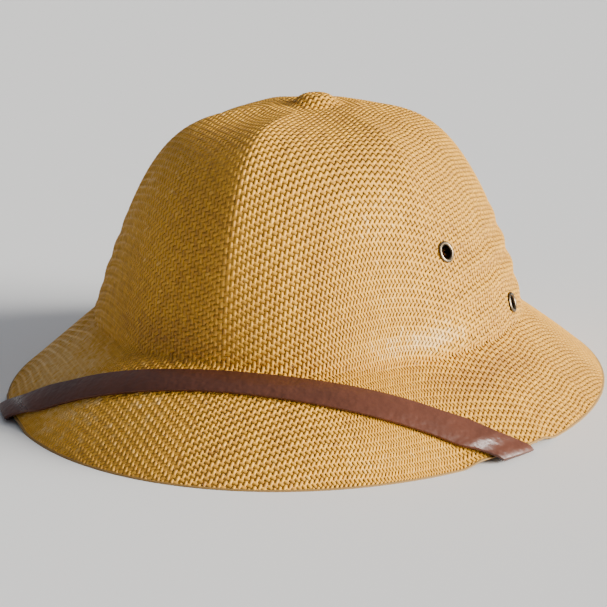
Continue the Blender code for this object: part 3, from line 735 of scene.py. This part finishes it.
def straw_material(settings):
    """Flat paper-like straw, cut in strips, woven and pressed.

    Every strand has its own tone and fibres along it, so the weave reads even where the light is flat. Broad
    patches make it look old and used, and paler and darker places paint highlights and shade on it, in part
    as wear.
    """
    material, tree, shader = new_material("woven_straw", Roughness=0.55, Specular_IOR_Level=0.25)
    tone, length, light_and_wear = (
        add_node(tree, "ShaderNodeAttribute", (-1200, 200 - 200 * row), {"attribute_name": name})
        for row, name in enumerate(("tone", "length", "light_and_wear")))
    stretched = add_node(tree, "ShaderNodeMath", (-1000, -50), {"operation": "DIVIDE", 1: FIBRE_LENGTH},
                         {0: length.outputs["Fac"]})
    fibre = add_node(tree, "ShaderNodeTexNoise", (-800, -50), {"noise_dimensions": "1D", "Scale": 1.0},
                     {"W": stretched.outputs[0]})
    place = add_node(tree, "ShaderNodeTexCoord", (-1000, -400))
    patches = add_node(tree, "ShaderNodeTexNoise", (-800, -400), {"Scale": 1 / PATCH_SIZE, "Detail": 3.0},
                       {"Vector": place.outputs["Object"]})
    strand = add_node(tree, "ShaderNodeMath", (-650, 0), {"operation": "MULTIPLY_ADD", 1: TONE_SHARE},
                      {0: tone.outputs["Fac"], 2: fibre.outputs["Fac"]})
    patched = add_node(tree, "ShaderNodeMath", (-500, 0), {"operation": "MULTIPLY_ADD", 1: PATCH_SHARE},
                       {0: patches.outputs["Fac"], 2: strand.outputs[0]})
    # Adds the painted highlights and painted shade, in part wear, to the strand's tone
    with_light_and_wear = add_node(tree, "ShaderNodeMath", (-350, 0), {"operation": "MULTIPLY_ADD", 1: PAINTED_LIGHT_AND_WEAR_SHARE},
                       {0: light_and_wear.outputs["Fac"], 2: patched.outputs[0]})
    factor = add_node(tree, "ShaderNodeMath", (-200, 0), {"operation": "MULTIPLY", 1: RAMP_SHARE},
                      {0: with_light_and_wear.outputs[0]})
    ramp = ramp_node(tree, (-50, 0), factor.outputs[0], (0.20, settings.straw_dark),
                     (0.60, settings.straw_usual), (0.95, settings.straw_pale))
    tree.links.new(ramp.outputs["Color"], shader.inputs["Base Color"])
    return material


def rim_material(settings):
    """Straw cloth turned in at the rim, smooth and darker than the weave: the darker colour is in part
    painted shade of the turned edge.
    """
    material, _, _ = new_material("rim_with_painted_shade", Base_Color=settings.rim_colour, Roughness=0.7)
    return material


def leather_material(settings):
    """Smooth finished leather, dyed brown and waxed.

    It is nearly even in colour, with a soft gloss and a faint grain, and is rubbed bright where it folds at
    the rim.
    """
    material, tree, shader = new_material("finished_leather", Specular_IOR_Level=0.4)
    place = add_node(tree, "ShaderNodeTexCoord", (-1300, 0))
    cloud = add_node(tree, "ShaderNodeTexNoise", (-900, 150), {"Scale": 1 / CLOUD_SIZE, "Detail": 3.0},
                     {"Vector": place.outputs["Object"]})
    ramp = ramp_node(tree, (-450, 150), cloud.outputs["Fac"], (0.3, settings.leather_dark),
                     (0.75, settings.leather_pale))
    tree.links.new(ramp.outputs["Color"], shader.inputs["Base Color"])

    bend = add_node(tree, "ShaderNodeAttribute", (-1300, -400), {"attribute_name": "bend"})
    aside = add_node(tree, "ShaderNodeMath", (-1200, -400), {"operation": "ABSOLUTE"},
                     {0: bend.outputs["Fac"]})
    fold_range = {"interpolation_type": "SMOOTHSTEP", "From Min": BEND_HALF_WIDTH, "From Max": 0.0}
    rubbed = add_node(tree, "ShaderNodeMapRange", (-1100, -400), fold_range, {"Value": aside.outputs[0]})
    gloss = add_node(tree, "ShaderNodeMapRange", (-450, -100),
                     {"To Min": LEATHER_ROUGHNESS, "To Max": RUBBED_ROUGHNESS},
                     {"Value": rubbed.outputs["Result"]})
    tree.links.new(gloss.outputs["Result"], shader.inputs["Roughness"])

    grain = add_node(tree, "ShaderNodeTexVoronoi", (-900, -200), {"Scale": 1 / GRAIN_SIZE},
                     {"Vector": place.outputs["Object"]})
    relief = add_node(tree, "ShaderNodeBump", (-600, -300),
                      {"Strength": GRAIN_STRENGTH, "Distance": GRAIN_RELIEF},
                      {"Height": grain.outputs["Distance"]})
    crinkle = add_node(tree, "ShaderNodeTexNoise", (-1100, -600), {"Scale": 1 / CRINKLE_SIZE, "Detail": 1.0},
                       {"Vector": place.outputs["Object"]})
    lean = add_node(tree, "ShaderNodeMapRange", (-1100, -800), {**fold_range, "From Max": -BEND_HALF_WIDTH},
                    {"Value": bend.outputs["Fac"]})
    creased = add_node(tree, "ShaderNodeMath", (-900, -500), {"operation": "MULTIPLY_ADD", 1: CRINKLE_SHARE},
                       {0: crinkle.outputs["Fac"], 2: lean.outputs["Result"]})
    folded = add_node(tree, "ShaderNodeBump", (-300, -300), {"Strength": 1.0, "Distance": BEND_RELIEF},
                      {"Height": creased.outputs[0], "Normal": relief.outputs["Normal"]})
    tree.links.new(folded.outputs["Normal"], shader.inputs["Normal"])
    return material


def brass_material(settings):
    """Antique brass, stamped, blackened and tumbled: a dulled warm grey with a satin shine."""
    material, _, _ = new_material("antique_brass", Base_Color=settings.brass_colour, Metallic=1.0,
                                  Roughness=0.30)
    return material


def floor_material():
    """Matt paper: it gives a soft shadow and no reflection."""
    material, _, _ = new_material("pale_floor", Base_Color=hex_linear(FLOOR_COLOUR), Roughness=0.9)
    return material


# The studio

def sight(azimuth, elevation):
    """The direction from the hat to something at an azimuth and an elevation in degrees."""
    turn, lift = math.radians(azimuth), math.radians(elevation)
    return Vector((math.sin(turn) * math.cos(lift), -math.cos(turn) * math.cos(lift), math.sin(lift)))


def far_lamp(name, azimuth, elevation, strength, spread, colour):
    """A wide soft lamp so far away that the floor is as bright behind the hat as beside it."""
    light = bpy.data.lights.new(name, "SUN")
    light.energy = strength
    light.angle = spread
    light.color = colour
    lamp = bpy.data.objects.new(name, light)
    lamp.rotation_euler = sight(azimuth, elevation).to_track_quat("Z", "Y").to_euler()
    bpy.context.scene.collection.objects.link(lamp)
    return lamp


def floor_piece():
    """A pale matt floor under the hat that fills the picture."""
    builder = bmesh.new()
    bmesh.ops.create_grid(builder, x_segments=1, y_segments=1, size=FLOOR_HALF)
    floor = finished_mesh("floor", builder)
    floor.data.materials.append(floor_material())
    return floor


def camera_piece():
    """The camera at the photo's angle: a long lens, with the frame shifted a little."""
    camera = bpy.data.cameras.new("camera")
    camera.lens = CAMERA_LENS
    camera.sensor_width = CAMERA_SENSOR
    camera.shift_x, camera.shift_y = CAMERA_SHIFT
    camera.clip_start = CAMERA_CLIP_START
    eye = bpy.data.objects.new("camera", camera)
    direction = sight(CAMERA_AZIMUTH, CAMERA_ELEVATION)
    eye.location = Vector(CAMERA_TARGET) + direction * CAMERA_DISTANCE
    eye.rotation_euler = direction.to_track_quat("Z", "Y").to_euler()
    bpy.context.scene.collection.objects.link(eye)
    bpy.context.scene.camera = eye
    return eye


# The add-on

class StrawHelmetSettings(bpy.types.PropertyGroup):
    """The sizes and colours that a maker may change"""
    warp_pitch: FloatProperty(name="Warp pitch", description="Distance between neighbouring warp strands",
                              default=0.00225, unit="LENGTH")
    weft_pitch: FloatProperty(name="Weft pitch", description="Distance between neighbouring weft strands",
                              default=0.0024, unit="LENGTH")
    strand_width: FloatProperty(name="Strand width", description="Width of a flat straw strand",
                                default=0.00215, unit="LENGTH")
    strand_height: FloatProperty(name="Strand height", description="Thickness of a flat straw strand",
                                 default=0.00026, unit="LENGTH")
    strand_wave: FloatProperty(name="Strand wave", description="How far a strand rises and dips as it weaves",
                               default=0.00014, unit="LENGTH")
    strap_edge: FloatProperty(name="Strap edge", description="Rounding of the strap's cut edges",
                              default=0.0003, unit="LENGTH")
    straw_usual: FloatVectorProperty(name="Straw", description="Usual colour of the straw",
                                     default=hex_linear("#dca12f"), subtype="COLOR", size=4, min=0.0, max=1.0)
    straw_dark: FloatVectorProperty(name="Dark straw", description="Colour of the darkest strands",
                                    default=hex_linear("#ac782f"), subtype="COLOR", size=4, min=0.0, max=1.0)
    # The palest straw is reached mostly where highlights are painted on, and in part where it is worn
    straw_pale: FloatVectorProperty(name="Worn straw", description="Colour of straw that is worn pale",
                                    default=hex_linear("#f3cf8f"), subtype="COLOR", size=4, min=0.0, max=1.0)
    # The rim's colour is darker than the straw's, in part as painted shade of the turned edge
    rim_colour: FloatVectorProperty(name="Rim", description="Colour of the glued rim binding",
                                    default=hex_linear("#94713a"), subtype="COLOR", size=4, min=0.0, max=1.0)
    leather_dark: FloatVectorProperty(name="Dark leather", description="Darker colour of the strap's leather",
                                      default=hex_linear("#4d291b"), subtype="COLOR", size=4, min=0.0,
                                      max=1.0)
    leather_pale: FloatVectorProperty(name="Pale leather", description="Paler colour of the strap's leather",
                                      default=hex_linear("#5e3424"), subtype="COLOR", size=4, min=0.0,
                                      max=1.0)
    brass_colour: FloatVectorProperty(name="Brass", description="Colour of the antique brass eyelets",
                                      default=hex_linear("#756651"), subtype="COLOR", size=4, min=0.0,
                                      max=1.0)
    seed: IntProperty(name="Seed", description="Choice of the strands' tones and widths", default=7)


def take_over(piece, slot, *nodes):
    """Parents a finished piece to the body, so it rides it, and hides the solids it stands in for."""
    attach(piece, "root")
    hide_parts(*nodes)


class HELMET_OT_weave(bpy.types.Operator):
    """Weave the straw body from flat strands"""
    bl_idname = "helmet.weave"
    bl_label = "Weave the straw body"

    def execute(self, context):
        settings = context.scene.straw_helmet
        material = straw_material(settings)
        for place, (name, rings) in enumerate(weave_pieces(settings)):
            piece = woven_object(name, rings, settings.seed + place)
            piece.data.materials.append(material)
            take_over(piece, "straw", "straw_body")
        return {"FINISHED"}


class HELMET_OT_rim(bpy.types.Operator):
    """Bind the rim of the brim"""
    bl_idname = "helmet.rim"
    bl_label = "Bind the rim"

    def execute(self, context):
        settings = context.scene.straw_helmet
        piece = rim_piece()
        piece.data.materials.append(rim_material(settings))
        take_over(piece, "straw", "straw_body")
        return {"FINISHED"}


class HELMET_OT_strap(bpy.types.Operator):
    """Make the leather strap"""
    bl_idname = "helmet.strap"
    bl_label = "Make the strap"

    def execute(self, context):
        settings = context.scene.straw_helmet
        piece = strap_piece(settings)
        piece.data.materials.append(leather_material(settings))
        take_over(piece, "leather", "strap")
        return {"FINISHED"}


class HELMET_OT_eyelets(bpy.types.Operator):
    """Set the brass eyelets"""
    bl_idname = "helmet.eyelets"
    bl_label = "Set the eyelets"

    def execute(self, context):
        material = brass_material(context.scene.straw_helmet)
        for centre, axis, node in eyelet_places():
            piece = eyelet_piece(centre, axis, node)
            piece.data.materials.append(material)
            take_over(piece, "brass", node)
        return {"FINISHED"}


class HELMET_OT_studio(bpy.types.Operator):
    """Set up the floor, the lights and the camera"""
    bl_idname = "helmet.studio"
    bl_label = "Set up the studio"

    def execute(self, context):
        world = bpy.data.worlds.new("studio")
        world.use_nodes = True
        background = world.node_tree.nodes["Background"]
        background.inputs["Color"].default_value = hex_linear(WORLD_COLOUR)
        background.inputs["Strength"].default_value = WORLD_STRENGTH
        context.scene.world = world
        lamps = [far_lamp(*lamp) for lamp in LAMPS]
        floor_piece()
        camera_piece()
        return {"FINISHED"}


class HELMET_PT_panel(bpy.types.Panel):
    """Sizes of the straw helmet and the steps that build it"""
    bl_label = "Straw Helmet"
    bl_idname = "HELMET_PT_panel"
    bl_space_type = "VIEW_3D"
    bl_region_type = "UI"
    bl_category = "Straw Helmet"

    def draw(self, context):
        settings = context.scene.straw_helmet
        for name in StrawHelmetSettings.__annotations__:
            self.layout.prop(settings, name)
        for operator in OPERATORS:
            self.layout.operator(operator.bl_idname)


OPERATORS = (HELMET_OT_weave, HELMET_OT_rim, HELMET_OT_strap, HELMET_OT_eyelets, HELMET_OT_studio)
CLASSES = (StrawHelmetSettings,) + OPERATORS + (HELMET_PT_panel,)


def register():
    """Registers the classes and hangs the settings on the scene."""
    for kind in CLASSES:
        bpy.utils.register_class(kind)
    bpy.types.Scene.straw_helmet = PointerProperty(type=StrawHelmetSettings)


def unregister():
    """Takes the settings and the classes out again."""
    del bpy.types.Scene.straw_helmet
    for kind in reversed(CLASSES):
        bpy.utils.unregister_class(kind)


def main():
    """Builds the hat and its studio."""
    register()
    bpy.ops.helmet.weave()
    bpy.ops.helmet.rim()
    bpy.ops.helmet.strap()
    bpy.ops.helmet.eyelets()
    bpy.ops.helmet.studio()


if __name__ == "__main__":
    main()
